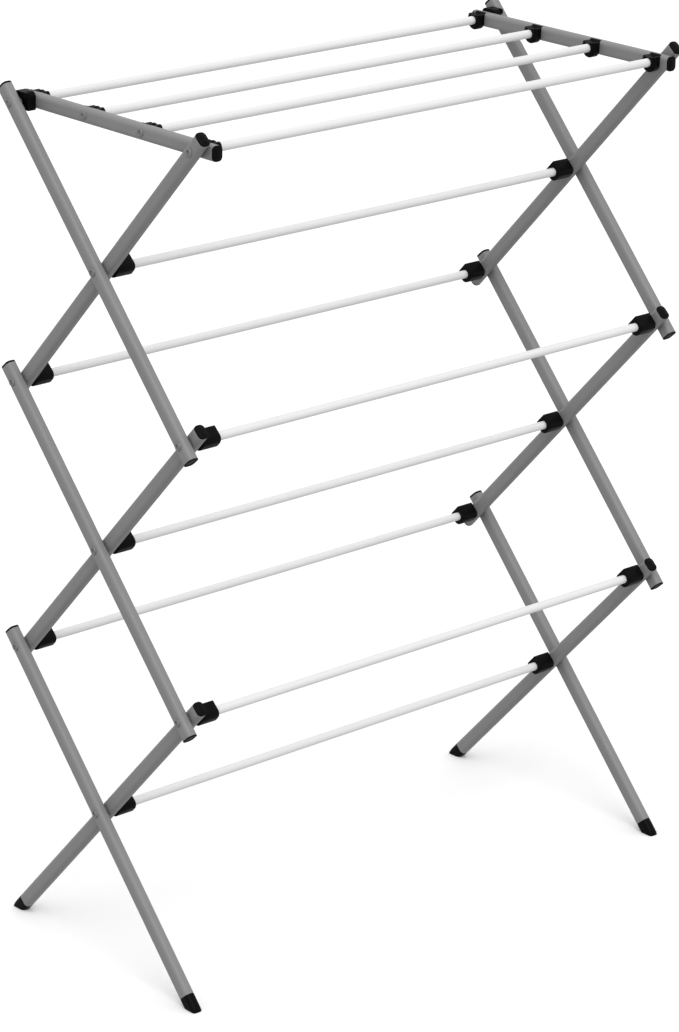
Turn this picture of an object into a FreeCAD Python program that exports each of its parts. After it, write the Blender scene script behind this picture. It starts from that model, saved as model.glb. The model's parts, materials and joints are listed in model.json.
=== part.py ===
import FreeCAD, Part
import math
import os

import Sketcher

V = FreeCAD.Vector
doc = FreeCAD.newDocument("drying_rack")
sheet = doc.addObject("Spreadsheet::Sheet", "dims")

# Millimetres and degrees. X runs along the rods, -Y is the front, +Z is up, and the origin is on the
# floor under the middle of the rack.
DIMENSIONS = [
    ("leg_length", 424, "leg, from pivot to pivot"),
    ("leg_tilt", 47.6, "leg above the floor when the rack is open"),
    ("half_width", 370, "middle of the rack to the outer face of a side frame"),
    ("tube_wide", 17, "flat-sided tube, the way the leg swings"),
    ("tube_thick", 13, "flat-sided tube, along the rods"),
    ("tube_corner", 5, "rounding of the tube's four corners"),
    ("tube_wall", 0.8, "tube wall"),
    ("layer_gap", 0.5, "gap between neighbouring layers of tube"),
    ("overhang", 20, "tube beyond its end pivot"),
    ("bar_rear", 11, "top bar beyond its rear rod"),
    ("cap_thick", 1.5, "flange of an end cap"),
    ("plug_length", 10, "part of a cap or foot inside its tube"),
    ("short_plug", 6, "the same at the rear of a top bar, where a rivet is near"),
    ("foot_rise", 24, "height of the lower pivot line, inside the feet"),
    ("foot_joint", 18, "lower pivot line to the end of the tube"),
    ("toe_cut", 2.5, "blunt toe, behind the sharp point it would have"),
    ("rod_diameter", 10, "coated rod"),
    ("rod_wall", 0.8, "rod wall"),
    ("rod_face", 319, "where a rod leaves its socket"),
    ("rod_inset", 8, "rod inside its socket"),
    ("socket_side", 19, "square socket behind a leg"),
    ("socket_corner", 4, "rounding of three of its corners"),
    ("web_start", 328, "end of the rod's bore"),
    ("clip_half", 10, "half width of a top clip"),
    ("clip_top", 10.5, "clip above the middle of the bar"),
    ("clip_drop", 1.5, "centre of a clip's round underside, below the middle of the bar"),
    ("clip_neck", 322, "where the collar meets the clip"),
    ("collar_radius", 9, "collar round a top rod"),
    ("hook_front", 14, "hook ahead of the rear rod"),
    ("hook_rear", 9, "hook behind the rear rod"),
    ("hook_top", 11.5, "hook above the middle of the bar"),
    ("hook_bottom", 9, "hook below the middle of the bar"),
    ("hook_corner", 6, "rounding of the hook's top corners"),
    ("hook_floor", 354, "bottom of the hook's channel"),
    ("channel_half", 5, "channel above and behind the peg"),
    ("peg_radius", 4.7, "latch peg"),
    ("peg_tip", 354.3, "inner end of the latch peg"),
    ("pin_radius", 3, "shank of a tubular rivet"),
    ("running_fit", 0.05, "radial clearance round a shank or a turning rod"),
    ("head_radius", 4.7, "rivet head"),
    ("head_thick", 1.2, "rivet head"),
    ("head_gap", 0.3, "rivet head clear of a part that turns on it"),
    ("hollow_radius", 2.2, "hole in the end of a rivet"),
    ("hollow_depth", 3, "hole in the end of a rivet"),
    ("stub_length", 8, "end of a rivet that plugs a rod"),
]
for row, (alias, number, note) in enumerate(DIMENSIONS, start=1):
    sheet.set(f"A{row}", note)
    sheet.set(f"B{row}", str(number))
    sheet.setAlias(f"B{row}", alias)
doc.recompute()


class Size:
    # A number together with the expression that works it out from the sheet.
    def __init__(self, value, text):
        self.value = float(value)
        self.text = text

    def __add__(self, other):
        other = as_size(other)
        return Size(self.value + other.value, f"({self.text} + {other.text})")

    def __sub__(self, other):
        other = as_size(other)
        return Size(self.value - other.value, f"({self.text} - {other.text})")

    def __mul__(self, other):
        other = as_size(other)
        return Size(self.value * other.value, f"({self.text} * {other.text})")

    def __truediv__(self, other):
        other = as_size(other)
        return Size(self.value / other.value, f"({self.text} / {other.text})")

    def __neg__(self):
        return Size(-self.value, f"(0 - {self.text})")

    def __rsub__(self, other):
        return as_size(other) - self

    __radd__ = __add__
    __rmul__ = __mul__


def as_size(number):
    return number if isinstance(number, Size) else Size(number, f"{number:g}")


def sine(angle):
    return Size(math.sin(math.radians(angle.value)), f"sin({angle.text})")


def cosine(angle):
    return Size(math.cos(math.radians(angle.value)), f"cos({angle.text})")


d = {alias: Size(sheet.get(alias), f"dims.{alias}") for alias, _, _ in DIMENSIONS}

reach = d["leg_length"] / 2 * cosine(d["leg_tilt"])
tier = d["leg_length"] * sine(d["leg_tilt"])
rod_pitch = reach * 2 / 3
outer_face = d["half_width"]
outer_in = outer_face - d["tube_thick"]
inner_face = outer_in - d["layer_gap"]
inner_in = inner_face - d["tube_thick"]
bar_face = inner_in - d["layer_gap"]
bar_in = bar_face - d["tube_thick"]
rod_end = d["rod_face"] + d["rod_inset"]
outer_turn = d["leg_tilt"] - 90
inner_turn = 90 - d["leg_tilt"]


def level(tiers):
    # Height of a pivot that many tiers above the lower pivot line.
    return d["foot_rise"] + tier * tiers


nodes = {}


def keep(name, thing):
    thing.Label = name
    nodes[name] = thing
    return thing


def place(thing, x, y, z, turn=None):
    # The turn is about X. Its sign goes into the axis, so that the bound angle stays positive.
    if turn is not None:
        way = 1 if turn.value >= 0 else -1
        turn = turn * way
        thing.Placement = FreeCAD.Placement(V(0, 0, 0), FreeCAD.Rotation(V(way, 0, 0), turn.value))
        thing.setExpression("Placement.Rotation.Angle", turn.text)
    for axis, distance in zip("xyz", (x, y, z)):
        thing.setExpression(f"Placement.Base.{axis}", as_size(distance).text)


def new_body(name):
    return doc.addObject("PartDesign::Body", name)


def new_sketch(body, role, offset=None):
    sketch = body.newObject("Sketcher::SketchObject", "sketch")
    plane = next(item for item in body.Origin.OriginFeatures if item.Role == role)
    sketch.AttachmentSupport = (plane, [""])
    sketch.MapMode = "FlatFace"
    if offset is not None:
        sketch.AttachmentOffset = FreeCAD.Placement(V(0, 0, offset.value), FreeCAD.Rotation())
        sketch.setExpression("AttachmentOffset.Base.z", offset.text)
    return sketch


def bind(sketch, kind, where, size):
    index = sketch.addConstraint(Sketcher.Constraint(kind, *where, size.value))
    name = f"c{index}"
    sketch.renameConstraint(index, name)
    sketch.setExpression(f"Constraints.{name}", size.text)


def pin_point(sketch, shape, point, x, y):
    # Ties a point of a shape to its distances from the sketch's own origin.
    for kind, axis, size in (("DistanceX", -2, as_size(x)), ("DistanceY", -1, as_size(y))):
        if abs(size.value) < 1e-9:
            sketch.addConstraint(Sketcher.Constraint("PointOnObject", shape, point, axis))
        else:
            bind(sketch, kind, (-1, 1, shape, point), size)


def add_circle(sketch, x, y, radius):
    x, y, radius = as_size(x), as_size(y), as_size(radius)
    shape = sketch.addGeometry(Part.Circle(V(x.value, y.value, 0), V(0, 0, 1), radius.value), False)
    pin_point(sketch, shape, 3, x, y)
    bind(sketch, "Radius", (shape,), radius)


def add_outline(sketch, points):
    points = [(as_size(x), as_size(y)) for x, y in points]
    places = [V(x.value, y.value, 0) for x, y in points]
    lines = [
        sketch.addGeometry(Part.LineSegment(start, end), False)
        for start, end in zip(places, places[1:] + places[:1])
    ]
    for line, following in zip(lines, lines[1:] + lines[:1]):
        sketch.addConstraint(Sketcher.Constraint("Coincident", line, 2, following, 1))
    for line, (x, y) in zip(lines, points):
        pin_point(sketch, line, 1, x, y)


def add_section(sketch, x, y, inset):
    # The tube's outline moved in by inset: a rectangle, long in the sketch's Y, with round corners.
    x, y, inset = as_size(x), as_size(y), as_size(inset)
    corner = d["tube_corner"] - inset
    across = d["tube_thick"] / 2 - d["tube_corner"]
    along = d["tube_wide"] / 2 - d["tube_corner"]
    middles = [(x + across * i, y + along * j) for i, j in ((1, 1), (-1, 1), (-1, -1), (1, -1))]
    arcs = []
    lines = []
    for index, (middle_x, middle_y) in enumerate(middles):
        middle = V(middle_x.value, middle_y.value, 0)
        ring = Part.Circle(middle, V(0, 0, 1), corner.value)
        start = index * math.pi / 2
        end = start + math.pi / 2
        arcs.append(sketch.addGeometry(Part.ArcOfCircle(ring, start, end), False))
        reached = V(math.cos(end), math.sin(end), 0) * corner.value
        next_x, next_y = middles[(index + 1) % 4]
        side = Part.LineSegment(middle + reached, V(next_x.value, next_y.value, 0) + reached)
        lines.append(sketch.addGeometry(side, False))
    for arc, line, following in zip(arcs, lines, arcs[1:] + arcs[:1]):
        sketch.addConstraint(Sketcher.Constraint("Tangent", arc, 2, line, 1))
        sketch.addConstraint(Sketcher.Constraint("Tangent", line, 2, following, 1))
    for arc, (middle_x, middle_y) in zip(arcs, middles):
        pin_point(sketch, arc, 3, middle_x, middle_y)
        bind(sketch, "Radius", (arc,), corner)


def pad(body, sketch, length, back=None, both_ways=False):
    feature = body.newObject("PartDesign::Pad", "pad")
    feature.Profile = sketch
    feature.setExpression("Length", length.text)
    if back is not None:
        feature.SideType = "Two sides"
        feature.setExpression("Length2", back.text)
    elif both_ways:
        feature.SideType = "Symmetric"
    doc.recompute()
    return feature


def pocket_through(body, sketch):
    feature = body.newObject("PartDesign::Pocket", "pocket")
    feature.Profile = sketch
    feature.Type = "ThroughAll"
    feature.SideType = "Symmetric"
    doc.recompute()
    return feature


def pocket(body, sketch, depth):
    # Cuts from the sketch towards -X.
    feature = body.newObject("PartDesign::Pocket", "pocket")
    feature.Profile = sketch
    feature.setExpression("Length", depth.text)
    doc.recompute()
    return feature


def revolve(body, sketch):
    feature = body.newObject("PartDesign::Revolution", "turned")
    feature.Profile = sketch
    feature.ReferenceAxis = (sketch, ["H_Axis"])
    feature.Angle = 360
    doc.recompute()
    return feature


def round_edges(body, feature, radius, wanted):
    # Rounds the straight edges along X whose middle answers wanted(y, z).
    names = []
    for number, edge in enumerate(feature.Shape.Edges, start=1):
        box = edge.BoundBox
        if len(edge.Vertexes) == 2 and box.XLength > 1 and box.YLength + box.ZLength < 1e-6:
            if wanted(box.Center.y, box.Center.z):
                names.append(f"Edge{number}")
    fillet = body.newObject("PartDesign::Fillet", "rounding")
    fillet.Base = (feature, names)
    fillet.setExpression("Radius", radius.text)
    doc.recompute()
    return fillet


def mirrored(thing):
    copy = doc.addObject("Part::Mirroring", thing.Name + "_left")
    copy.Source = thing
    copy.Base = V(0, 0, 0)
    copy.Normal = V(1, 0, 0)
    return copy


def keep_sides(name, body):
    # One node for each side: the body stands on the right.
    keep(f"right_{name}", body)
    keep(f"left_{name}", mirrored(body))


def keep_group(name, bodies):
    # One node for all the like pieces, on both sides.
    group = doc.addObject("Part::Compound", name)
    group.Links = [item for body in bodies for item in (body, mirrored(body))]
    keep(name, group)


def tube(name, up, down, holes):
    # A tube along Z, drilled along X at the heights in holes.
    body = new_body(name)
    section = new_sketch(body, "XY_Plane")
    add_section(section, 0, 0, 0)
    add_section(section, 0, 0, d["tube_wall"])
    pad(body, section, up, back=down)
    drilled = new_sketch(body, "YZ_Plane")
    for height in holes:
        add_circle(drilled, 0, height, d["pin_radius"] + d["running_fit"])
    pocket_through(body, drilled)
    return body


def cap(name, plug_length=d["plug_length"]):
    # An end cap for the upper end of a tube: its flange starts at Z 0, its plug goes down.
    body = new_body(name)
    plug = new_sketch(body, "XY_Plane")
    add_section(plug, 0, 0, d["tube_wall"])
    feature = pad(body, plug, plug_length)
    feature.Reversed = True
    flange = new_sketch(body, "XY_Plane")
    add_section(flange, 0, 0, 0)
    pad(body, flange, d["cap_thick"])
    return body


def place_cap(body, x, y, z, turn, along, below=False):
    # Puts a cap on the tube whose middle is at y, z, at a distance along it.
    way = -1 if below else 1
    along = along * way
    facing = turn + 180 if below else turn
    place(body, x, as_size(y) - sine(turn) * along, z + cosine(turn) * along, facing)


# Side frames: three crosses on each side, their outer legs going down to the front.
outer_middle = outer_face - d["tube_thick"] / 2
inner_middle = inner_face - d["tube_thick"] / 2
bar_middle = bar_face - d["tube_thick"] / 2
half_leg = d["leg_length"] / 2
for tiers, storey in ((2.5, "upper"), (1.5, "middle"), (0.5, "lower")):
    for layer, x, turn in (("outer", outer_middle, outer_turn), ("inner", inner_middle, inner_turn)):
        name = f"{storey}_{layer}"
        lowest = storey == "lower"
        top = half_leg + d["overhang"]
        bottom = half_leg + d["foot_joint"] if lowest else top
        holes = [half_leg, as_size(0)] if lowest else [half_leg, as_size(0), -half_leg]
        leg = tube(f"{name}_leg", top, bottom, holes)
        place(leg, x, 0, level(tiers), turn)
        keep_sides(f"{name}_leg", leg)
        ends = [cap(f"{name}_cap")]
        place_cap(ends[0], x, 0, level(tiers), turn, top)
        if not lowest:
            ends.append(cap(f"{name}_low_cap"))
            place_cap(ends[1], x, 0, level(tiers), turn, bottom, below=True)
        keep_group(f"{name}_caps", ends)

# Top bars, level, drilled for the front pivot and the rods behind it.
level_turn = as_size(90)
bar = tube(
    "top_bar",
    reach + d["overhang"],
    reach + d["bar_rear"],
    [reach, reach - rod_pitch, rod_pitch - reach, -reach],
)
place(bar, bar_middle, 0, level(3), level_turn)
keep_sides("top_bar", bar)
bar_ends = [cap("bar_front_cap"), cap("bar_rear_cap", d["short_plug"])]
place_cap(bar_ends[0], bar_middle, 0, level(3), level_turn, reach + d["overhang"])
place_cap(bar_ends[1], bar_middle, 0, level(3), level_turn, reach + d["bar_rear"], below=True)
keep_group("top_bar_caps", bar_ends)


def foot(name, way):
    # A foot in its leg's own frame, the leg's upper side towards way * Y, the floor cut level.
    body = new_body(name)
    half = d["tube_wide"] / 2
    slope = cosine(d["leg_tilt"]) / sine(d["leg_tilt"])
    drop = d["foot_rise"] / sine(d["leg_tilt"])
    long_side = drop + half * slope
    plug = new_sketch(body, "XY_Plane", -d["foot_joint"])
    add_section(plug, 0, 0, d["tube_wall"])
    pad(body, plug, d["plug_length"])
    block = new_sketch(body, "XY_Plane", -d["foot_joint"])
    add_section(block, 0, 0, 0)
    shaft = pad(body, block, long_side)
    shaft.Reversed = True
    doc.recompute()
    sole = new_sketch(body, "YZ_Plane")

    def from_toe(back, rise):
        # That far behind the toe along the floor and that far above the floor.
        y = half - sine(d["leg_tilt"]) * back + cosine(d["leg_tilt"]) * rise
        z = cosine(d["leg_tilt"]) * back + sine(d["leg_tilt"]) * rise - long_side
        return (y * way, z)

    clear = long_side * 2
    toe_cut = d["toe_cut"]
    add_outline(
        sole,
        [
            from_toe(clear, 0),
            from_toe(toe_cut, 0),
            from_toe(toe_cut, clear),
            from_toe(-clear, clear),
            from_toe(-clear, -clear),
            from_toe(clear, -clear),
        ],
    )
    pocket_through(body, sole)
    return body


front_foot = foot("front_foot", -1)
place(front_foot, outer_middle, -reach, d["foot_rise"], outer_turn)
keep_sides("front_foot", front_foot)
rear_foot = foot("rear_foot", 1)
place(rear_foot, inner_middle, reach, d["foot_rise"], inner_turn)
keep_sides("rear_foot", rear_foot)


def rod(name, y, z):
    body = new_body(name)
    section = new_sketch(body, "YZ_Plane")
    add_circle(section, 0, 0, d["rod_diameter"] / 2)
    add_circle(section, 0, 0, d["rod_diameter"] / 2 - d["rod_wall"])
    pad(body, section, rod_end * 2, both_ways=True)
    place(body, 0, y, z)
    keep(name, body)


def bore(body, start, end, radius):
    section = new_sketch(body, "YZ_Plane", end)
    add_circle(section, 0, 0, radius)
    pocket(body, section, end - start)


def socket(name, y, z):
    # A square block behind an inner leg, turned with it, that holds the end of a rod.
    body = new_body(name)
    half = d["socket_side"] / 2
    section = new_sketch(body, "YZ_Plane", d["rod_face"])
    add_outline(section, [(-half, -half), (half, -half), (half, half), (-half, half)])
    block = pad(body, section, inner_in - d["rod_face"])
    round_edges(body, block, d["socket_corner"], lambda y, z: not (y > 0 and z > 0))
    bore(body, d["rod_face"], d["web_start"], d["rod_diameter"] / 2 + d["running_fit"])
    bore(body, d["web_start"], inner_in, d["pin_radius"] + d["running_fit"])
    place(body, 0, y, z, inner_turn)
    keep_group(name, [body])


def rivet(name, y, z, stub, face):
    # A tubular rivet along X: stub is the start, end and radius of its thicker inner end.
    body = new_body(name)
    start, end, radius = stub
    profile = new_sketch(body, "XZ_Plane")
    crown = face + d["head_thick"]
    bottom = crown - d["hollow_depth"]
    add_outline(
        profile,
        [
            (start, 0),
            (start, radius),
            (end, radius),
            (end, d["pin_radius"]),
            (face, d["pin_radius"]),
            (face, d["head_radius"]),
            (crown, d["head_radius"]),
            (crown, d["hollow_radius"]),
            (bottom, d["hollow_radius"]),
            (bottom, 0),
        ],
    )
    revolve(body, profile)
    place(body, 0, y, z)
    return body


rod_plug = (rod_end - d["stub_length"], rod_end, d["rod_diameter"] / 2 - d["rod_wall"])
turning_face = outer_face + d["head_gap"]
for name, y, tiers in (
    ("upper_crossing", 0, 2.5),
    ("upper_rear", reach, 2),
    ("middle_front", -reach, 2),
    ("middle_crossing", 0, 1.5),
    ("middle_rear", reach, 1),
    ("lower_front", -reach, 1),
    ("lower_crossing", 0, 0.5),
):
    rod(f"{name}_rod", y, level(tiers))
    socket(f"{name}_sockets", y, level(tiers))
    keep_group(
        f"{name}_rivets",
        [rivet(f"{name}_rivet", y, level(tiers), rod_plug, turning_face)],
    )

# The top rack: four rods in clips on the bars.
def clip(name, y, z):
    body = new_body(name)
    half = d["clip_half"]
    block_sketch = new_sketch(body, "YZ_Plane", d["clip_neck"])
    low = -(d["clip_drop"] + half)
    add_outline(block_sketch, [(-half, low), (half, low), (half, d["clip_top"]), (-half, d["clip_top"])])
    block = pad(body, block_sketch, bar_in - d["clip_neck"])
    round_edges(body, block, half - 0.01, lambda y, z: z < 0)
    lip_sketch = new_sketch(body, "YZ_Plane", bar_in)
    seat = (d["tube_wide"] - d["tube_thick"]) / 2
    add_outline(lip_sketch, [(-half, seat), (half, seat), (half, d["clip_top"]), (-half, d["clip_top"])])
    pad(body, lip_sketch, d["tube_thick"] / 2)
    saddle = new_sketch(body, "XZ_Plane")
    add_section(saddle, bar_middle, 0, 0)
    pocket_through(body, saddle)
    collar = new_sketch(body, "YZ_Plane", d["rod_face"])
    add_circle(collar, 0, 0, d["collar_radius"])
    pad(body, collar, d["clip_neck"] - d["rod_face"])
    bore(body, d["rod_face"], d["web_start"], d["rod_diameter"] / 2 + d["running_fit"])
    bore(body, d["web_start"], bar_middle, d["pin_radius"] + d["running_fit"])
    place(body, 0, y, z)
    keep_group(name, [body])


for name, y in (
    ("front", -reach),
    ("mid_front", rod_pitch - reach),
    ("mid_rear", reach - rod_pitch),
    ("rear", reach),
):
    rod(f"top_rod_{name}", y, level(3))
    clip(f"top_clips_{name}", y, level(3))

front_pin = rivet("top_pivot", -reach, level(3), rod_plug, inner_face + d["head_gap"])
keep_group("top_pivot_rivets", [front_pin])
bar_rivets = [
    rivet("bar_rivet", rod_pitch - reach, level(3), rod_plug, bar_face),
    rivet("bar_rivet", reach - rod_pitch, level(3), rod_plug, bar_face),
    rivet("hook_rivet", reach, level(3), rod_plug, d["hook_floor"] - d["head_thick"]),
]
keep_group("top_bar_rivets", bar_rivets)
peg_stub = (d["peg_tip"], outer_in, d["peg_radius"])
keep_group("latch_pegs", [rivet("latch_peg", reach, level(3), peg_stub, outer_face)])

# Latch hooks, open to the front and below, that come down over the pegs.
hook = new_body("latch_hook")
hook_sketch = new_sketch(hook, "YZ_Plane", bar_face)
front, rear, low = -d["hook_front"], d["hook_rear"], -d["hook_bottom"]
add_outline(hook_sketch, [(front, low), (rear, low), (rear, d["hook_top"]), (front, d["hook_top"])])
hook_block = pad(hook, hook_sketch, inner_face - bar_face)
round_edges(hook, hook_block, d["hook_corner"], lambda y, z: z > 0)
channel = new_sketch(hook, "YZ_Plane", inner_face)
half = d["channel_half"]
add_outline(channel, [(front * 2, low * 2), (half, low * 2), (half, half), (front * 2, half)])
pocket(hook, channel, inner_face - d["hook_floor"])
bore(hook, bar_face, d["hook_floor"], d["pin_radius"] + d["running_fit"])
bore(hook, d["hook_floor"] - d["head_thick"], d["hook_floor"], d["head_radius"])
place(hook, 0, reach, level(3))
keep_sides("latch_hook", hook)

doc.recompute()
for thing in doc.Objects:
    if "Invalid" in thing.State or "Error" in thing.State:
        raise SystemExit(f"{thing.Name} did not compute: {thing.State}")
os.makedirs("parts", exist_ok=True)
for name, thing in nodes.items():
    shape = thing.Shape
    if shape.isNull() or not shape.isValid() or not shape.Solids:
        raise SystemExit(f"{name} has no valid solid")
    shape.exportStep(f"parts/{name}.step")
print(f"{len(nodes)} nodes written")
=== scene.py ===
import json
import math

import bpy
import numpy as np
from mathutils import Matrix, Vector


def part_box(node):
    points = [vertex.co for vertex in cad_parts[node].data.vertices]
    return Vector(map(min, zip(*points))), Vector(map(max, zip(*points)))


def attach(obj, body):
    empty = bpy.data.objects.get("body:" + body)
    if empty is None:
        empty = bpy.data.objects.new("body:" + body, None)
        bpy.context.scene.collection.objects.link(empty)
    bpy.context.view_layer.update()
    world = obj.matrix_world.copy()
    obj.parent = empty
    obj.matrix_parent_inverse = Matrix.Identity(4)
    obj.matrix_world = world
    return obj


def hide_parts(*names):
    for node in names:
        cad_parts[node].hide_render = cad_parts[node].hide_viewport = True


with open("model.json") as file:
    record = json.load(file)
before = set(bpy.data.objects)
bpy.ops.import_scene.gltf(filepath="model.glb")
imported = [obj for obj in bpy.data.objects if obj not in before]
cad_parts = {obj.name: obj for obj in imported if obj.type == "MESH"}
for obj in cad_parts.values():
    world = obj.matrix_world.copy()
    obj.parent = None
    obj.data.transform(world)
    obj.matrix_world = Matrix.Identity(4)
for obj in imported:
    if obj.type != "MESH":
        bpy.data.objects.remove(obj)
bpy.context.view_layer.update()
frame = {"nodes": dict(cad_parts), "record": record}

mm = 0.001
plastic, paint, coating, zinc = "black_plastic", "grey_tube", "white_rod", "zinc_rivet"
bodyOf = {
    node: body for body, nodes in frame["record"]["behaviour"]["bodies"].items() for node in nodes
}


# Measures of the rack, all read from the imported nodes.
def corners(node):
    low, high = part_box(node)
    return np.array(low), np.array(high)


def pivot(node):
    # Middle of a rod's box, seen from the side: (y, z).
    low, high = corners(node)
    return (low[1:] + high[1:]) / 2


def outside(node):
    # The node's furthest x on the right.
    return corners(node)[1][0]


barLow, barHigh = corners("right_top_bar")
tube = {
    "wide": barHigh[2] - barLow[2],
    "thick": barHigh[0] - barLow[0],
    "corner": 5 * mm,
    "cutRound": 0.35 * mm,  # at the sawn ends
    "sleeved": 2.8 * mm,  # length at the floor that the foot reaches over
    "step": 9 * mm,  # station spacing
    "fine": 1.1 * mm,  # the same near a rivet
    "fineReach": 9 * mm,
    "seat": 0.3 * mm,  # depth of the pressed ring round a rivet
    "seatRadius": 5.8 * mm,
    "seatSpread": 1.3 * mm,
}
crossing = {
    storey: pivot(f"{storey}_crossing_rod") for storey in ("lower", "middle", "upper")
}
tierRise = crossing["middle"][1] - crossing["lower"][1]
reach = pivot("middle_rear_rod")[0]  # from a crossing to the rods at the leg ends
tilt = math.atan2(tierRise, 2 * reach)  # of a leg from level
outerTurn, innerTurn = tilt - math.pi / 2, math.pi / 2 - tilt
outerX = outside("right_upper_outer_leg") - tube["thick"] / 2
innerX = outside("right_upper_inner_leg") - tube["thick"] / 2
barX = outside("right_top_bar") - tube["thick"] / 2
barZ = (barLow[2] + barHigh[2]) / 2
rodRadius = (corners("top_rod_front")[1][1] - corners("top_rod_front")[0][1]) / 2
rodEnd = outside("top_rod_front")
rodHeld = 8 * mm  # length of a rod's end inside its socket
rodFace = rodEnd - rodHeld


# Surfaces.
def skin(rings):
    # Closed skin over stacked closed rings (stations, points, xyz): a quad between each four
    # neighbours and a fan from each end ring to its middle, turned round if its volume is negative.
    stations, count = rings.shape[:2]
    points = np.vstack([rings.reshape(-1, 3), rings[0].mean(0), rings[-1].mean(0)])
    here = np.arange(count)
    beside = (here + 1) % count
    rows = np.arange(stations - 1)[:, None] * count
    quads = np.stack([rows + here, rows + beside, rows + beside + count, rows + here + count], -1)
    quads = quads.reshape(-1, 4)
    top = (stations - 1) * count
    first = np.stack([beside, here, np.full(count, stations * count)], -1)
    last = np.stack([here + top, beside + top, np.full(count, stations * count + 1)], -1)
    fans = np.vstack([first, last])
    split = np.vstack([quads[:, [0, 1, 2]], quads[:, [0, 2, 3]], fans])
    a, b, c = (points[split[:, i]] for i in range(3))
    if np.einsum("ij,ij->i", a, np.cross(b, c)).sum() < 0:
        quads, fans = quads[:, ::-1], fans[:, ::-1]
    return points, quads, fans


def mirrored(rings):
    # The same rings on the left: x changes its sign.
    return rings * np.array([-1, 1, 1])


def turned(rings, turn, y, z):
    # From (x, across, along) to the rack: across and along turned about X by turn, then moved.
    x, across, along = np.moveaxis(rings, -1, 0)
    c, s = math.cos(turn), math.sin(turn)
    return np.stack([x, y + across * c - along * s, z + across * s + along * c], -1)


outlineGrid = {"corner": 9, "side": 4, "sharpest": 0.05 * mm}  # points, and the least radius


def boxOutline(low, high, radii, inset):
    # Rounded rectangle (a, b) moved in by inset: quarter circles of radius - inset round the corner
    # middles, with straight runs between. The radii go counter-clockwise from the corner at high.
    low, high = np.array(low) + inset, np.array(high) - inset
    angle = np.linspace(0, math.pi / 2, outlineGrid["corner"])
    quarters = []
    for index, (radius, sign) in enumerate(zip(radii, [(1, 1), (-1, 1), (-1, -1), (1, -1)])):
        radius = max(radius - inset, outlineGrid["sharpest"])
        away = np.array(sign)
        middle = np.where(away > 0, high, low) - away * radius
        swing = angle + index * math.pi / 2
        quarters.append(middle + radius * np.stack([np.cos(swing), np.sin(swing)], -1))
    share = np.linspace(0, 1, outlineGrid["side"] + 2)[1:-1, None]
    rows = []
    for quarter, following in zip(quarters, quarters[1:] + quarters[:1]):
        rows += [quarter, quarter[-1] * (1 - share) + following[0] * share]
    return np.vstack(rows)


def tubeOutline(inset):
    # The tube's section (x, across): its rounded rectangle moved in by inset.
    half = np.array([tube["thick"], tube["wide"]]) / 2
    return boxOutline(-half, half, [tube["corner"]] * 4, inset)


def roundOver(start, end, radius, steps=5):
    # (place, inset) pairs from start to end: a quarter round of that radius at each end.
    way = 1 if end > start else -1
    angle = np.linspace(0, math.pi / 2, steps)
    lift, inset = radius * (1 - np.cos(angle)), radius * (1 - np.sin(angle))
    opening = np.stack([start + way * lift, inset], -1)
    closing = np.stack([end - way * lift, inset], -1)[::-1]
    return np.vstack([opening, closing])


def atX(outline, x):
    # A flat outline (a, b) set at one x.
    return np.column_stack([np.full(len(outline), x), outline])


def lathe(profile, y, z, count):
    # Surface of revolution about a line along X: each (x, radius) of the profile makes one ring.
    angle = np.arange(count) / count * 2 * math.pi
    x, radius = np.array(profile).T
    return np.stack(
        [
            np.repeat(x[:, None], count, 1),
            y + radius[:, None] * np.cos(angle),
            z + radius[:, None] * np.sin(angle),
        ],
        -1,
    )


def addPiece(name, ringSets, material, nodes, crease=38):
    # Joins the skins into one mesh that rides with its nodes' body and stands for them. Edges
    # sharper than crease degrees are shaded hard.
    points, faces, count = [], [], 0
    for rings in ringSets:
        skinPoints, quads, fans = skin(rings)
        points.append(skinPoints)
        faces += (quads + count).tolist() + (fans + count).tolist()
        count += len(skinPoints)
    mesh = bpy.data.meshes.new(name)
    mesh.from_pydata(np.vstack(points), [], faces)
    mesh.polygons.foreach_set("use_smooth", np.ones(len(mesh.polygons), bool))
    mesh.set_sharp_from_angle(angle=math.radians(crease))
    mesh.materials.append(finishes[material])
    piece = bpy.data.objects.new(name, mesh)
    bpy.context.scene.collection.objects.link(piece)
    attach(piece, bodyOf[nodes[0]])
    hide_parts(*nodes)


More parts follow.
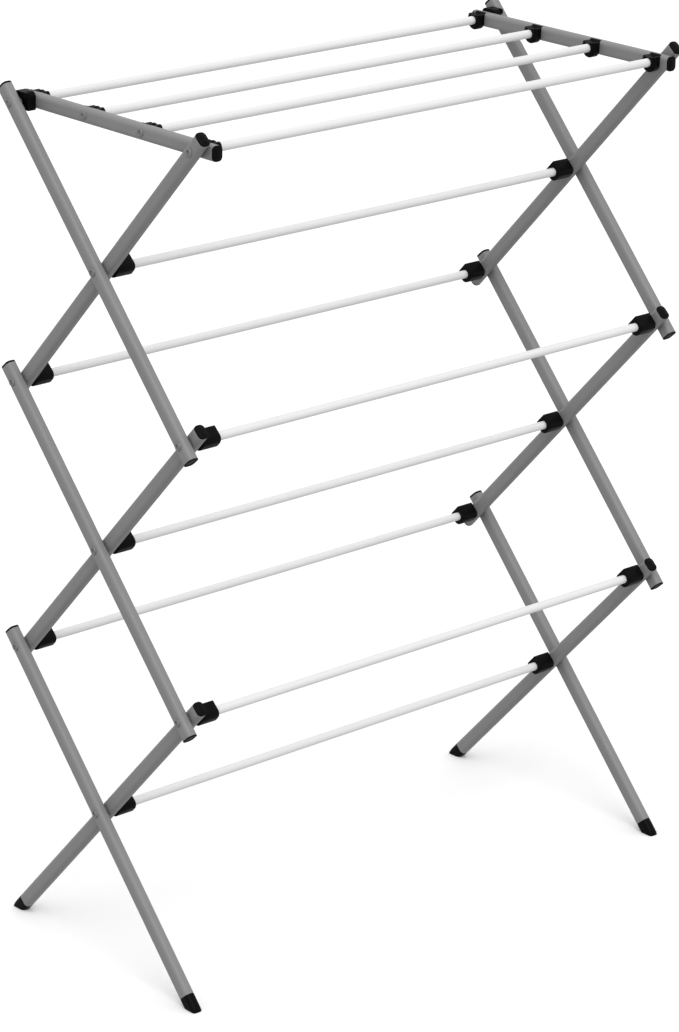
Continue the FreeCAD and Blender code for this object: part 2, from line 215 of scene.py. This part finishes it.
# Finishes.
class Wire:
    # An output of a node. Operators on wires add Math nodes, and node() makes any other node.
    def __init__(self, tree, socket=None):
        self.tree = tree
        self.socket = socket

    def node(self, kind, settings=None, inputs=None, output=0):
        made = self.tree.nodes.new(kind)
        for key, value in (settings or {}).items():
            if key == "stops":
                for index, (place, shade) in enumerate(value):
                    stops = made.color_ramp.elements
                    stop = stops[index] if index < len(stops) else stops.new(place)
                    stop.position = place
                    stop.color = (shade, shade, shade, 1)
            else:
                setattr(made, key, value)
        for key, value in (inputs or {}).items():
            if isinstance(value, Wire):
                self.tree.links.new(value.socket, made.inputs[key])
            else:
                made.inputs[key].default_value = value
        return Wire(self.tree, made.outputs[output])

    def sum(self, operation, first, second):
        return self.node("ShaderNodeMath", {"operation": operation}, {0: first, 1: second})

    def __add__(self, other):
        return self.sum("ADD", self, other)

    def __sub__(self, other):
        return self.sum("SUBTRACT", self, other)

    def __rsub__(self, other):
        return self.sum("SUBTRACT", other, self)

    def __mul__(self, other):
        return self.sum("MULTIPLY", self, other)

    __radd__ = __add__
    __rmul__ = __mul__

    def noise(self, place, scale, detail, stretch=(1, 1, 1)):
        # Even noise about 0.5, in a place stretched along the axes.
        spread = self.node("ShaderNodeMapping", {}, {"Vector": place, "Scale": stretch})
        return self.node(
            "ShaderNodeTexNoise", {}, {"Vector": spread, "Scale": scale, "Detail": detail}
        )

    def steps(self, value, stops):
        # Grey ramp through (place, shade) stops.
        return self.node("ShaderNodeValToRGB", {"stops": stops}, {"Fac": value})

    def shade(self, mask, dark, light):
        # Colour from dark to light as mask goes from 0 to 1.
        return self.node(
            "ShaderNodeMix", {"data_type": "RGBA"}, {0: mask, 6: (*dark, 1), 7: (*light, 1)}, 2
        )

    def bump(self, height, depth, under=None):
        # Normal of a relief of that depth, laid over another normal if one is given.
        inputs = {"Height": height, "Distance": depth, "Strength": 1.0}
        if under is not None:
            inputs["Normal"] = under
        return self.node("ShaderNodeBump", {}, inputs)


# In each finish a pattern is (scale, detail) or (scale, detail, stretch).
greyPaint = {
    "dark": (0.172, 0.172, 0.173),
    "light": (0.212, 0.212, 0.213),
    "cloud": (16, 4),
    "peel": (620, 2),
    "peelDepth": 0.012 * mm,
    "grain": (2600, 2),
    "grainDepth": 0.003 * mm,
    "rub": (30, 5, (1, 1, 0.25)),
    "rubStops": [(0.56, 0), (0.72, 1)],
    "rubShine": 0.06,
    "gloss": 0.42,
    "glossSpread": 0.1,
}


def dressGreyPaint(canvas, place):
    # Powder coat: cloudy tone, fine orange peel, a roughness that wanders, faint rubbed streaks.
    look = greyPaint
    cloud = canvas.noise(place, *look["cloud"])
    peel = canvas.noise(place, *look["peel"])
    grain = canvas.noise(place, *look["grain"])
    rub = canvas.steps(canvas.noise(place, *look["rub"]), look["rubStops"])
    tone = cloud * 0.7 + grain * 0.3 + rub * 0.15
    return {
        "Base Color": canvas.shade(tone, look["dark"], look["light"]),
        "Roughness": cloud * look["glossSpread"] + look["gloss"] - rub * look["rubShine"],
        "Normal": canvas.bump(peel, look["peelDepth"], canvas.bump(grain, look["grainDepth"])),
    }


whiteCoat = {
    "dark": (0.632, 0.632, 0.634),
    "light": (0.694, 0.694, 0.696),
    "ripple": (60, 2, (0.25, 1, 1)),
    "rippleDepth": 0.02 * mm,
    "grain": (1900, 2),
    "grainDepth": 0.003 * mm,
    "dust": (240, 4),
    "dustStops": [(0.62, 0), (0.8, 1)],
    "dustMatt": 0.1,
    "gloss": 0.36,
    "glossSpread": 0.1,
}


def dressWhiteCoat(canvas, place):
    # Dipped plastic coat: long soft ripples along the rod, a fine matt grain, faint dust.
    look = whiteCoat
    ripple = canvas.noise(place, *look["ripple"])
    grain = canvas.noise(place, *look["grain"])
    dust = canvas.steps(canvas.noise(place, *look["dust"]), look["dustStops"])
    tone = ripple * 0.6 + grain * 0.4 - dust * 0.25
    return {
        "Base Color": canvas.shade(tone, look["dark"], look["light"]),
        "Roughness": ripple * look["glossSpread"] + look["gloss"] + dust * look["dustMatt"],
        "Normal": canvas.bump(ripple, look["rippleDepth"], canvas.bump(grain, look["grainDepth"])),
    }


blackMoulding = {
    "dark": (0.0012, 0.0012, 0.0013),
    "light": (0.0042, 0.0042, 0.0044),
    "grain": (1500, 3),
    "grainDepth": 0.02 * mm,
    "flow": (90, 3, (0.4, 1, 1)),
    "scuff": (420, 5),
    "scuffStops": [(0.6, 0), (0.78, 1)],
    "scuffMatt": 0.12,
    "gloss": 0.34,
    "glossSpread": 0.12,
}


def dressBlackMoulding(canvas, place):
    # Moulded plastic: spark-eroded grain, slow flow marks, scattered lighter scuffs.
    look = blackMoulding
    grain = canvas.noise(place, *look["grain"])
    flow = canvas.noise(place, *look["flow"])
    scuff = canvas.steps(canvas.noise(place, *look["scuff"]), look["scuffStops"])
    tone = flow * 0.6 + grain * 0.3 + scuff * 0.4
    return {
        "Base Color": canvas.shade(tone, look["dark"], look["light"]),
        "Roughness": flow * look["glossSpread"] + look["gloss"] + scuff * look["scuffMatt"],
        "Normal": canvas.bump(grain, look["grainDepth"]),
    }


rivetMetal = {
    "dark": (0.15, 0.15, 0.155),
    "light": (0.28, 0.28, 0.29),
    "plating": (330, 4),
    "scratch": (900, 3, (0.2, 1, 1)),
    "scratchDepth": 0.01 * mm,
    "rub": (140, 3),
    "rubStops": [(0.5, 0), (0.75, 1)],
    "rubShine": 0.08,
    "gloss": 0.38,
    "glossSpread": 0.2,
}


def dressRivetMetal(canvas, place):
    # Rolled rivet: dull plating with fine turned scratches and a few brighter rubs.
    look = rivetMetal
    plating = canvas.noise(place, *look["plating"])
    scratch = canvas.noise(place, *look["scratch"])
    rub = canvas.steps(canvas.noise(place, *look["rub"]), look["rubStops"])
    tone = plating * 0.6 + scratch * 0.2 + rub * 0.3
    return {
        "Base Color": canvas.shade(tone, look["dark"], look["light"]),
        "Roughness": plating * look["glossSpread"] + look["gloss"] - rub * look["rubShine"],
        "Normal": canvas.bump(scratch, look["scratchDepth"]),
    }


def newFinish(name, constants, dress):
    # A Principled shader with its constants, and dress(canvas, place) for what changes over it.
    finish = bpy.data.materials.new(name)
    finish.use_nodes = True
    shader = finish.node_tree.nodes["Principled BSDF"]
    for key, value in constants.items():
        shader.inputs[key].default_value = value
    canvas = Wire(finish.node_tree)
    place = canvas.node("ShaderNodeTexCoord", {}, {}, "Object")
    for key, wire in dress(canvas, place).items():
        finish.node_tree.links.new(wire.socket, shader.inputs[key])
    return finish


finishes = {
    paint: newFinish("greyPowderCoat", {"Metallic": 0.0, "IOR": 1.45}, dressGreyPaint),
    coating: newFinish("whiteRodCoat", {"IOR": 1.45}, dressWhiteCoat),
    plastic: newFinish(
        "blackMoulding", {"IOR": 1.45, "Specular IOR Level": 0.06}, dressBlackMoulding
    ),
    zinc: newFinish("rivetPlating", {"Metallic": 0.6, "IOR": 1.45}, dressRivetMetal),
}
print("finishes ready")


# Tubes: the section carried along the leg, with a pressed ring round each rivet.
def tubeRings(x, y, z, turn, up, down, rivets):
    # Rings at stations from -down to up, closer near the rivets. Each ring is the section, drawn in
    # at the two cut ends and sunk by a bell of seat depth about seatRadius from every rivet.
    fine = np.arange(-tube["fineReach"], tube["fineReach"], tube["fine"])
    along = np.concatenate([np.arange(-down, up, tube["step"])] + [fine + place for place in rivets])
    along = np.unique(np.round(along, 5))
    along = along[(along > -down + mm) & (along < up - mm)]
    steps = 4
    ends = roundOver(-down, up, tube["cutRound"], steps)
    along = np.concatenate([ends[:steps, 0], along, ends[steps:, 0]])
    inset = np.zeros(len(along))
    inset[:steps], inset[-steps:] = ends[:steps, 1], ends[steps:, 1]
    rings = np.stack([tubeOutline(edge) for edge in inset])
    rings = np.concatenate([rings, np.repeat(along[:, None, None], rings.shape[1], 1)], 2)
    for place in rivets:
        away = np.hypot(rings[..., 1], rings[..., 2] - place)
        sink = tube["seat"] * np.exp(-(((away - tube["seatRadius"]) / tube["seatSpread"]) ** 2))
        rings[..., 0] -= np.sign(rings[..., 0]) * sink
    return turned(rings + np.array([x, 0, 0]), turn, y, z)


def legEnds(node, z):
    # Distance from the crossing to the tube's upper and lower ends, from the height of its box.
    low, high = corners(node)
    edge = tube["wide"] / 2 * math.cos(tilt)
    return (high[2] - z - edge) / math.sin(tilt), (z - low[2] - edge) / math.sin(tilt)


halfLeg = reach / math.cos(tilt)
layers = {"outer": (outerX, outerTurn), "inner": (innerX, innerTurn)}
legTubes = {}
for storey, (y, z) in crossing.items():
    for layer, (x, turn) in layers.items():
        up, down = legEnds(f"right_{storey}_{layer}_leg", z)
        legTubes[storey, layer] = (x, y, z, turn, up, down)
        rivets = [0.0, halfLeg, -halfLeg] if storey != "lower" else [0.0, halfLeg]
        bare = down - (tube["sleeved"] if storey == "lower" else 0)
        rings = tubeRings(x, y, z, turn, up, bare, rivets)
        for side, sided in (("right", rings), ("left", mirrored(rings))):
            node = f"{side}_{storey}_{layer}_leg"
            addPiece(f"{side}{storey.title()}{layer.title()}Tube", [sided], paint, [node])

barUp, barDown = -barLow[1], barHigh[1]
topRods = {
    place: pivot(f"top_rod_{place}")[0] for place in ("front", "mid_front", "mid_rear", "rear")
}
barRings = tubeRings(barX, 0, barZ, math.pi / 2, barUp, barDown, [-y for y in topRods.values()])
addPiece("rightTopBarTube", [barRings], paint, ["right_top_bar"])
addPiece("leftTopBarTube", [mirrored(barRings)], paint, ["left_top_bar"])
print("tubes ready")

# End caps, as (height above the tube's end, inset) in mm, from the tube's outline to the middle.
capShape = {
    "plug": 0.9 * mm,  # inset of the plug
    "leadLength": 0.6 * mm,  # bevel at the plug's far end
    "leadInset": 0.5 * mm,
    "legPlug": 10 * mm,
    "barFrontPlug": 10 * mm,
    "barRearPlug": 6 * mm,
    "domed": [
        (0, 0.2), (0.15, 0.03), (0.3, 0), (1.5, 0), (1.9, 0.12), (2.2, 0.4), (2.4, 0.8),
        (2.45, 1.3), (2.3, 1.6), (2.26, 1.9), (2.36, 2.15), (2.6, 2.7), (2.9, 3.7), (3.05, 4.7),
        (3.1, 5.3),
    ],
    "dished": [
        (0, 0.2), (0.15, 0.03), (0.3, 0), (1.1, 0), (1.3, 0.08), (1.44, 0.25), (1.5, 0.5),
        (1.5, 1.0), (1.42, 1.2), (1.2, 1.34), (0.9, 1.4), (0.8, 1.6), (0.8, 3.0), (0.8, 5.3),
    ],
}


def capRings(x, y, z, turn, along, shape, plugLength, below=False):
    # The tube's section at each height of the plug and then of the shape, moved in by its inset,
    # beyond the tube's upper end or, if below, its lower one.
    plug = capShape["plug"]
    rise = [
        (-plugLength, plug + capShape["leadInset"]),
        (-plugLength + capShape["leadLength"], plug),
        (0, plug),
    ]
    rise += [(height * mm, inset * mm) for height, inset in capShape[shape]]
    way = -1 if below else 1
    rings = []
    for height, inset in rise:
        outline = tubeOutline(inset)
        rings.append(np.column_stack([outline, np.full(len(outline), way * (along + height))]))
    return turned(np.stack(rings) + np.array([x, 0, 0]), turn, y, z)


for (storey, layer), (x, y, z, turn, up, down) in legTubes.items():
    shells = [capRings(x, y, z, turn, up, "domed", capShape["legPlug"])]
    if storey != "lower":
        shells.append(capRings(x, y, z, turn, down, "dished", capShape["legPlug"], below=True))
    shells += [mirrored(rings) for rings in shells]
    addPiece(f"{storey}{layer.title()}Caps", shells, plastic, [f"{storey}_{layer}_caps"])
barPlace = (barX, 0, barZ, math.pi / 2)
shells = [
    capRings(*barPlace, barUp, "domed", capShape["barFrontPlug"]),
    capRings(*barPlace, barDown, "domed", capShape["barRearPlug"], below=True),
]
addPiece("topBarCaps", shells + [mirrored(s) for s in shells], plastic, ["top_bar_caps"])
print("caps ready")

# Feet: the section run down to the floor, with a rounded sole edge and a blunt toe.
footShape = {
    "plug": 0.9 * mm,
    "plugLength": 8 * mm,
    "groove": 0.35 * mm,  # line round the joint with the tube
    "grooveWide": 0.3 * mm,
    "wallStart": 0.75 * mm,
    "edge": 1.2 * mm,  # rounding of the sole
    "soleInset": 4.5 * mm,
    "toeSoft": 1.9 * mm,
    "toeShort": 0.2 * mm,
}


def footRings(node, x, y, turn, down, crossZ, way):
    # Every point of the section runs along the leg from the joint to the floor. Over the last edge
    # height the section draws in by a quarter round. Behind the toe, y is held back smoothly:
    # y = limit - soft * log(1 + exp((limit - y) / soft)), towards way.
    shape = footShape
    c, s = math.cos(turn), math.sin(turn)

    def squareRing(inset, along):
        outline = tubeOutline(inset)
        return np.column_stack([outline, np.full(len(outline), along)])

    def levelRing(inset, height):
        outline = tubeOutline(inset)
        return np.column_stack([outline, (height - crossZ - outline[:, 1] * s) / c])

    joint = tube["sleeved"] - down
    wall, foot = squareRing(0, joint - shape["wallStart"]), levelRing(0, shape["edge"])
    rings = [
        squareRing(shape["plug"], joint + shape["plugLength"]),
        squareRing(shape["plug"], joint),
        squareRing(shape["groove"], joint),
        squareRing(shape["groove"], joint - shape["grooveWide"]),
        wall,
    ]
    rings += [wall * (1 - t) + foot * t for t in np.linspace(0.1, 1, 10)]
    for angle in np.linspace(0.2, 1, 6) * math.pi / 2:
        inset = shape["edge"] * (1 - math.cos(angle))
        rings.append(levelRing(inset, shape["edge"] * (1 - math.sin(angle))))
    rings.append(levelRing(shape["soleInset"], 0))
    rings = turned(np.stack(rings) + np.array([x, 0, 0]), turn, y, crossZ)
    low, high = corners(node)
    limit = (high[1] if way > 0 else -low[1]) - shape["toeShort"]
    soft = shape["toeSoft"]
    rings[..., 1] = way * (limit - soft * np.log1p(np.exp((limit - way * rings[..., 1]) / soft)))
    return rings


for end, layer, way in (("front", "outer", -1), ("rear", "inner", 1)):
    x, y, z, turn, up, down = legTubes["lower", layer]
    rings = footRings(f"right_{end}_foot", x, y, turn, down, z, way)
    addPiece(f"right{end.title()}Foot", [rings], plastic, [f"right_{end}_foot"])
    addPiece(f"left{end.title()}Foot", [mirrored(rings)], plastic, [f"left_{end}_foot"])
print("feet ready")

# Rods, and the square sockets behind the inner legs.
rodShape = {
    "count": 40,  # points round
    "stations": 48,
    "straight": 0.97,  # share of the half length that the stations cover
    "nose": 1.2 * mm,
    "noseSteps": 5,
}
for node in [node for node in frame["nodes"] if "_rod" in node]:
    y, z = pivot(node)
    steps, straight = rodShape["noseSteps"], rodEnd * rodShape["straight"]
    nose = roundOver(-rodEnd, rodEnd, rodShape["nose"], steps)
    middle = np.linspace(-straight, straight, rodShape["stations"])
    x = np.concatenate([nose[:steps, 0], middle, nose[steps:, 0]])
    inset = np.concatenate([nose[:steps, 1], 0 * middle, nose[steps:, 1]])
    profile = np.column_stack([x, rodRadius - inset])
    words = node.split("_")
    name = words[0] + "".join(word.title() for word in words[1:])
    addPiece(name, [lathe(profile, y, z, rodShape["count"])], coating, [node])

socketShape = {
    "side": 19 * mm,
    "topCorner": 1.0 * mm,
    "frontCorner": 7 * mm,
    "bottomCorner": 7.5 * mm,
    "rearCorner": 4 * mm,
    "edge": 1.1 * mm,
    "mouth": 0.9 * mm,  # chamfer round the rod
    "clear": 0.15 * mm,
    "depth": 3 * mm,
}


def mouthRings(outline):
    # From a flat outline on the face to a chamfered round hole that the rod goes into: each ring is
    # the outline's directions from the middle times a radius.
    aim = outline / np.linalg.norm(outline, axis=1, keepdims=True)
    hole = rodRadius + socketShape["clear"]
    mouth, depth = socketShape["mouth"], socketShape["depth"]
    steps = [(hole + mouth, 0), (hole + mouth * 0.3, mouth * 0.35), (hole, mouth), (hole, depth)]
    return [atX(aim * radius, rodFace + sunk) for radius, sunk in steps]


def socketRings(node, y, z):
    # A square of four corner radii carried along X from the leg to the face, rounded over at both
    # ends, then the mouth; all of it turned with the inner leg.
    half, edge = socketShape["side"] / 2, socketShape["edge"]
    low, high = (-half, -half), (half, half)
    radii = [socketShape[key] for key in ("topCorner", "frontCorner", "bottomCorner", "rearCorner")]
    rings = [
        atX(boxOutline(low, high, radii, inset), x)
        for x, inset in roundOver(outside(node), rodFace, edge)
    ]
    rings += mouthRings(boxOutline(low, high, radii, edge))
    return turned(np.stack(rings), innerTurn, y, z)


for node in [node for node in frame["nodes"] if node.endswith("_sockets")]:
    y, z = pivot(node.replace("_sockets", "_rod"))
    rings = socketRings(node, y, z)
    storey, place, _ = node.split("_")
    addPiece(f"{storey}{place.title()}Sockets", [rings, mirrored(rings)], plastic, [node])
print("rods and sockets ready")

# Clips that hold the top rods on the bars: a block, a round collar and a lip over the bar.
clipShape = {
    "half": 9.6 * mm,
    "low": 11.3 * mm,
    "top": 7.4 * mm,
    "topCorner": 1.6 * mm,
    "lowCorner": 9.4 * mm,
    "dip": 3 * mm,  # saddle across the middle of the top
    "dipHalf": 4.2 * mm,
    "edge": 1.0 * mm,
    "sunk": 0.8 * mm,  # into the bar's wall
    "neck": rodFace + 2.2 * mm,
    "collar": 9 * mm,
    "collarDeep": 2 * mm,
    "collarEdge": 0.9 * mm,
    "collarPoints": 48,
    "lipHalf": 8.4 * mm,
    "lipTop": 9.4 * mm,
    "lipTurn": 78,  # degrees round the bar's edge
    "lipSteps": 15,
    "lipGap": 0.05 * mm,
    "lipCorner": 0.9 * mm,
    "lipNarrow": 4.5 * mm,  # each side, at the tip
    "lipThin": 0.8,  # share of the thickness lost at the tip
    "lipFade": 0.25,  # share of the lip that rounds off
}


def clipRings(y, z):
    # Block: an outline with a round underside carried along X from the bar to the neck. Collar: a
    # lathe from the neck to the face and into its hole. Then the dip: above the hole, height times
    # 1 - share * exp(-(across / dipHalf) ^ 2).
    shape = clipShape
    radii = [shape["topCorner"]] * 2 + [shape["lowCorner"]] * 2
    low, high = (-shape["half"], -shape["low"]), (shape["half"], shape["top"])
    start = barX - tube["thick"] / 2 + shape["sunk"]
    block = [
        atX(boxOutline(low, high, radii, inset), x)
        for x, inset in roundOver(start, shape["neck"], shape["edge"])
    ]
    rounding = roundOver(shape["neck"], rodFace, shape["collarEdge"], 5)[5:]
    hole = rodRadius + socketShape["clear"]
    collar = [(shape["neck"] + shape["collarDeep"], shape["collar"])]
    collar += [(x, shape["collar"] - inset) for x, inset in rounding]
    collar += [(rodFace, hole + 0.8 * mm), (rodFace + 0.3 * mm, hole + 0.2 * mm)]
    collar += [(rodFace + 0.8 * mm, hole), (rodFace + 3 * mm, hole)]
    shells = [np.stack(block), lathe(collar, 0, 0, shape["collarPoints"])]
    for rings in shells:
        dip = shape["dip"] / shape["collar"] * np.exp(-((rings[..., 1] / shape["dipHalf"]) ** 2))
        spare = np.clip((rings[..., 2] - hole) / (shape["top"] - hole), 0, 1)
        rings[..., 2] -= rings[..., 2] * dip * spare
    return [turned(rings, 0, y, z) for rings in shells] + [lipRings(y, z)]


def lipRings(y, z):
    # A rounded strip bent round the bar's upper edge: at each angle the section (radial, y) stands
    # on a circle about the edge's middle, and draws in towards the tip as a quarter round.
    shape = clipShape
    inner = tube["thick"] / 2
    centreZ = z + (tube["wide"] - tube["thick"]) / 2
    full = shape["lipTop"] - tube["wide"] / 2
    rings = []
    for share in np.linspace(0, 1, shape["lipSteps"]):
        swing = math.radians(shape["lipTurn"]) * share
        fade = max(share - (1 - shape["lipFade"]), 0) / shape["lipFade"]
        draw = 1 - math.sqrt(max(1 - fade**2, 0.0004))
        thick = full * (1 - draw * shape["lipThin"])
        side = shape["lipHalf"] - draw * shape["lipNarrow"]
        corner = min(shape["lipCorner"], thick * 0.45)
        section = boxOutline((inner + shape["lipGap"], -side), (inner + thick, side), [corner] * 4, 0)
        x = barX - section[:, 0] * math.cos(swing)
        height = centreZ + section[:, 0] * math.sin(swing)
        rings.append(np.stack([x, y + section[:, 1], height], -1))
    return np.stack(rings)


for place, y in topRods.items():
    shells = clipRings(y, barZ)
    name = "topClips" + "".join(word.title() for word in place.split("_"))
    addPiece(name, shells + [mirrored(s) for s in shells], plastic, [f"top_clips_{place}"])
print("clips ready")

# Latch hooks behind the rear rivets of the bars: a block, and a hooked rim that drops over the peg.
hookShape = {
    "floor": 354 * mm,  # x of the block's outer face, inside the rim
    "edge": 0.9 * mm,
    "topCorner": 6 * mm,
    "lowCorner": 1 * mm,
    "bend": 5.9 * mm,  # the rim's own corner
    "rimTop": 6.5 * mm,
    "rimRear": 4 * mm,
    "rimSunk": 1 * mm,
    "rimCorner": 0.8 * mm,
    "rimEnd": 0.5 * mm,
    "runPoints": 8,
    "bendPoints": 9,
}


def hookRings():
    # Block: its outline carried along X. Rim: a section (x, depth) moved along the block's outline
    # from the front over the top and down the rear, depth inwards from the outline.
    shape = hookShape
    low, high = corners("right_latch_hook")
    y = topRods["rear"]
    radii = [shape["topCorner"]] * 2 + [shape["lowCorner"]] * 2
    block = [
        atX(boxOutline(low[1:] - (y, barZ), high[1:] - (y, barZ), radii, inset), x)
        for x, inset in roundOver(low[0], shape["floor"], shape["edge"])
    ]
    top, back, front, foot = high[2] - barZ, high[1] - y, low[1] - y, low[2] - barZ
    bend, rear, under = shape["bend"], back - shape["rimRear"], top - shape["rimTop"]
    angle = np.linspace(math.pi / 2, 0, shape["bendPoints"])
    over = np.linspace(front, back - bend, shape["runPoints"])[:-1]

    def points(across, height):
        return np.stack(np.broadcast_arrays(across, height), -1)

    outer = np.vstack(
        [
            points(over, top),
            points(back - bend + bend * np.cos(angle), top - bend + bend * np.sin(angle)),
            points(back, np.linspace(top - bend, foot, shape["runPoints"])[1:]),
        ]
    )
    inner = np.vstack(
        [
            points(over, under),
            points(back - bend + (bend - shape["rimRear"]) * np.cos(angle), under),
            points(rear, np.linspace(under, foot, shape["runPoints"])[1:]),
        ]
    )
    rim = []
    start, end = shape["floor"] - shape["rimSunk"], high[0]
    for index, (rimOut, rimIn) in enumerate(zip(outer, inner)):
        draw = shape["rimEnd"] if index in (0, len(outer) - 1) else 0
        span = np.linalg.norm(rimOut - rimIn)
        corner = [shape["rimCorner"]] * 4
        section = boxOutline((start + draw, draw), (end - draw, span - draw), corner, 0)
        share = (section[:, 1] / span)[:, None]
        rim.append(np.column_stack([section[:, 0], rimIn * (1 - share) + rimOut * share]))
    return [turned(np.stack(rings), 0, y, barZ) for rings in (block, rim)]


hookShells = hookRings()
addPiece("rightLatchHook", hookShells, plastic, ["right_latch_hook"])
addPiece("leftLatchHook", [mirrored(s) for s in hookShells], plastic, ["left_latch_hook"])
print("hooks ready")

# Tubular rivets.
rivetShape = {
    "head": 4.7 * mm,
    "thick": 1.2 * mm,
    "pin": 3 * mm,
    "skirt": 0.75 * mm,  # head edge pressed down over the round of the tube
    "shoulder": 0.25 * mm,
    "domeHigh": 0.95 * mm,
    "domeIn": 1.5 * mm,
    "stub": 8 * mm,
    "stubRadius": 4.2 * mm,
    "stubLead": 0.4 * mm,
    "hollow": 2.2 * mm,
    "hollowDeep": 3 * mm,
    "pegStart": 354.3 * mm,  # x, just off the hook's floor
    "points": 32,
    "crease": 50,
}


def rivetRings(
    y, z, crown, start=rodEnd - rivetShape["stub"], end=rodEnd, stub=rivetShape["stubRadius"]
):
    # Lathe of (x, radius): the plug in the rod, the shank, round the domed head, into its hollow.
    shape = rivetShape
    head, pin, hollow = shape["head"], shape["pin"], shape["hollow"]
    face = crown - shape["thick"]
    skirt, shoulder = face - shape["skirt"], face + shape["shoulder"]
    profile = [(start, stub * 0.8), (start + shape["stubLead"], stub), (end, stub), (end, pin)]
    profile += [(skirt, pin), (skirt, head - 0.25 * mm), (face - 0.3 * mm, head), (shoulder, head)]
    for angle in np.linspace(0.2, 1, 5) * math.pi / 2:
        rise, draw = shape["domeHigh"] * math.sin(angle), shape["domeIn"] * (1 - math.cos(angle))
        profile.append((shoulder + rise, head - draw))
    profile += [
        (crown - 0.08 * mm, hollow + 0.45 * mm),
        (crown - 0.35 * mm, hollow + 0.12 * mm),
        (crown - 0.8 * mm, hollow),
        (crown - 2.9 * mm, hollow * 0.92),
        (crown - shape["hollowDeep"], hollow * 0.6),
    ]
    return lathe(profile, y, z, shape["points"])


def addRivets(name, node, spots):
    # spots: what rivetRings takes for each rivet on the right.
    shells = [rivetRings(*spot) for spot in spots]
    shells += [mirrored(rings) for rings in shells]
    addPiece(name, shells, zinc, [node], rivetShape["crease"])


for node in [node for node in frame["nodes"] if node.endswith("_rivets") and "top" not in node]:
    storey, place, _ = node.split("_")
    spot = pivot(node.replace("_rivets", "_rod"))
    addRivets(f"{storey}{place.title()}Rivets", node, [(*spot, outside(node))])
pivotCrown, latchCrown = outside("top_pivot_rivets"), outside("top_bar_rivets")
barCrown = barX + tube["thick"] / 2 + rivetShape["thick"]
addRivets("topPivotRivets", "top_pivot_rivets", [(topRods["front"], barZ, pivotCrown)])
barSpots = [("mid_front", barCrown), ("mid_rear", barCrown), ("rear", latchCrown)]
barSpots = [(topRods[place], barZ, crown) for place, crown in barSpots]
addRivets("topBarRivets", "top_bar_rivets", barSpots)
pegSpan = (rivetShape["pegStart"], outerX - tube["thick"] / 2)
peg = (topRods["rear"], barZ, outside("latch_pegs"), *pegSpan, rivetShape["head"])
addRivets("latchPegs", "latch_pegs", [peg])
print("rivets ready")

# Floor, light and camera.
studio = {
    "floorSize": 60,
    "floor": 0.84,
    "below": 0.64,  # light from under, level and overhead
    "level": 0.84,
    "above": 1.06,
    "sun": 1.3,
    "sunAngle": 40,
    "sunAim": (38, 0, -28),
}
bpy.ops.mesh.primitive_plane_add(size=studio["floorSize"], location=(0, 0, 0))
floor = bpy.context.object
floor.name = "studioFloor"
floorFinish = bpy.data.materials.new("paleFloor")
floorFinish.use_nodes = True
floorShader = floorFinish.node_tree.nodes["Principled BSDF"]
floorShader.inputs["Base Color"].default_value = (studio["floor"],) * 3 + (1,)
floorShader.inputs["Roughness"].default_value = 1.0
floorShader.inputs["Specular IOR Level"].default_value = 0.0
floor.data.materials.append(floorFinish)
floor.visible_diffuse = False  # the sky stands in for its bounce
floor.visible_glossy = False

world = bpy.data.worlds.new("studioWorld")
world.use_nodes = True
sky = Wire(world.node_tree)
upness = sky.node(
    "ShaderNodeSeparateXYZ", {}, {0: sky.node("ShaderNodeTexCoord", {}, {}, "Generated")}, "Z"
)
glow = sky.steps(
    upness * 0.5 + 0.5, [(0.1, studio["below"]), (0.5, studio["level"]), (0.9, studio["above"])]
)
world.node_tree.links.new(glow.socket, world.node_tree.nodes["Background"].inputs["Color"])
bpy.context.scene.world = world

sunData = bpy.data.lights.new("softKey", "SUN")
sunData.energy = studio["sun"]
sunData.angle = math.radians(studio["sunAngle"])
sun = bpy.data.objects.new("softKey", sunData)
sun.rotation_euler = [math.radians(a) for a in studio["sunAim"]]
bpy.context.scene.collection.objects.link(sun)

cameraSpot = {
    "at": (-2.7121, -2.9697, 1.8888),
    "heading": 42.301,
    "down": 19.69,
    "roll": 1.046,
    "lens": 129.2,
    "sensor": 36,
    "clipEnd": 100,
}
heading, down, roll = (math.radians(cameraSpot[key]) for key in ("heading", "down", "roll"))
aim = np.array(
    [math.sin(heading) * math.cos(down), math.cos(heading) * math.cos(down), -math.sin(down)]
)
across = np.array([math.cos(heading), -math.sin(heading), 0])
above = np.cross(across, aim)
rightward = across * math.cos(roll) + above * math.sin(roll)
upward = -across * math.sin(roll) + above * math.cos(roll)
cameraData = bpy.data.cameras.new("viewCamera")
cameraData.sensor_width = cameraSpot["sensor"]
cameraData.lens = cameraSpot["lens"]
cameraData.clip_end = cameraSpot["clipEnd"]
camera = bpy.data.objects.new("viewCamera", cameraData)
placing = np.eye(4)
placing[:3, :3] = np.column_stack([rightward, upward, -aim])
placing[:3, 3] = cameraSpot["at"]
camera.matrix_world = Matrix(placing.tolist())
bpy.context.scene.collection.objects.link(camera)
bpy.context.scene.camera = camera
bpy.context.scene.view_settings.view_transform = "Standard"
print("stage ready")
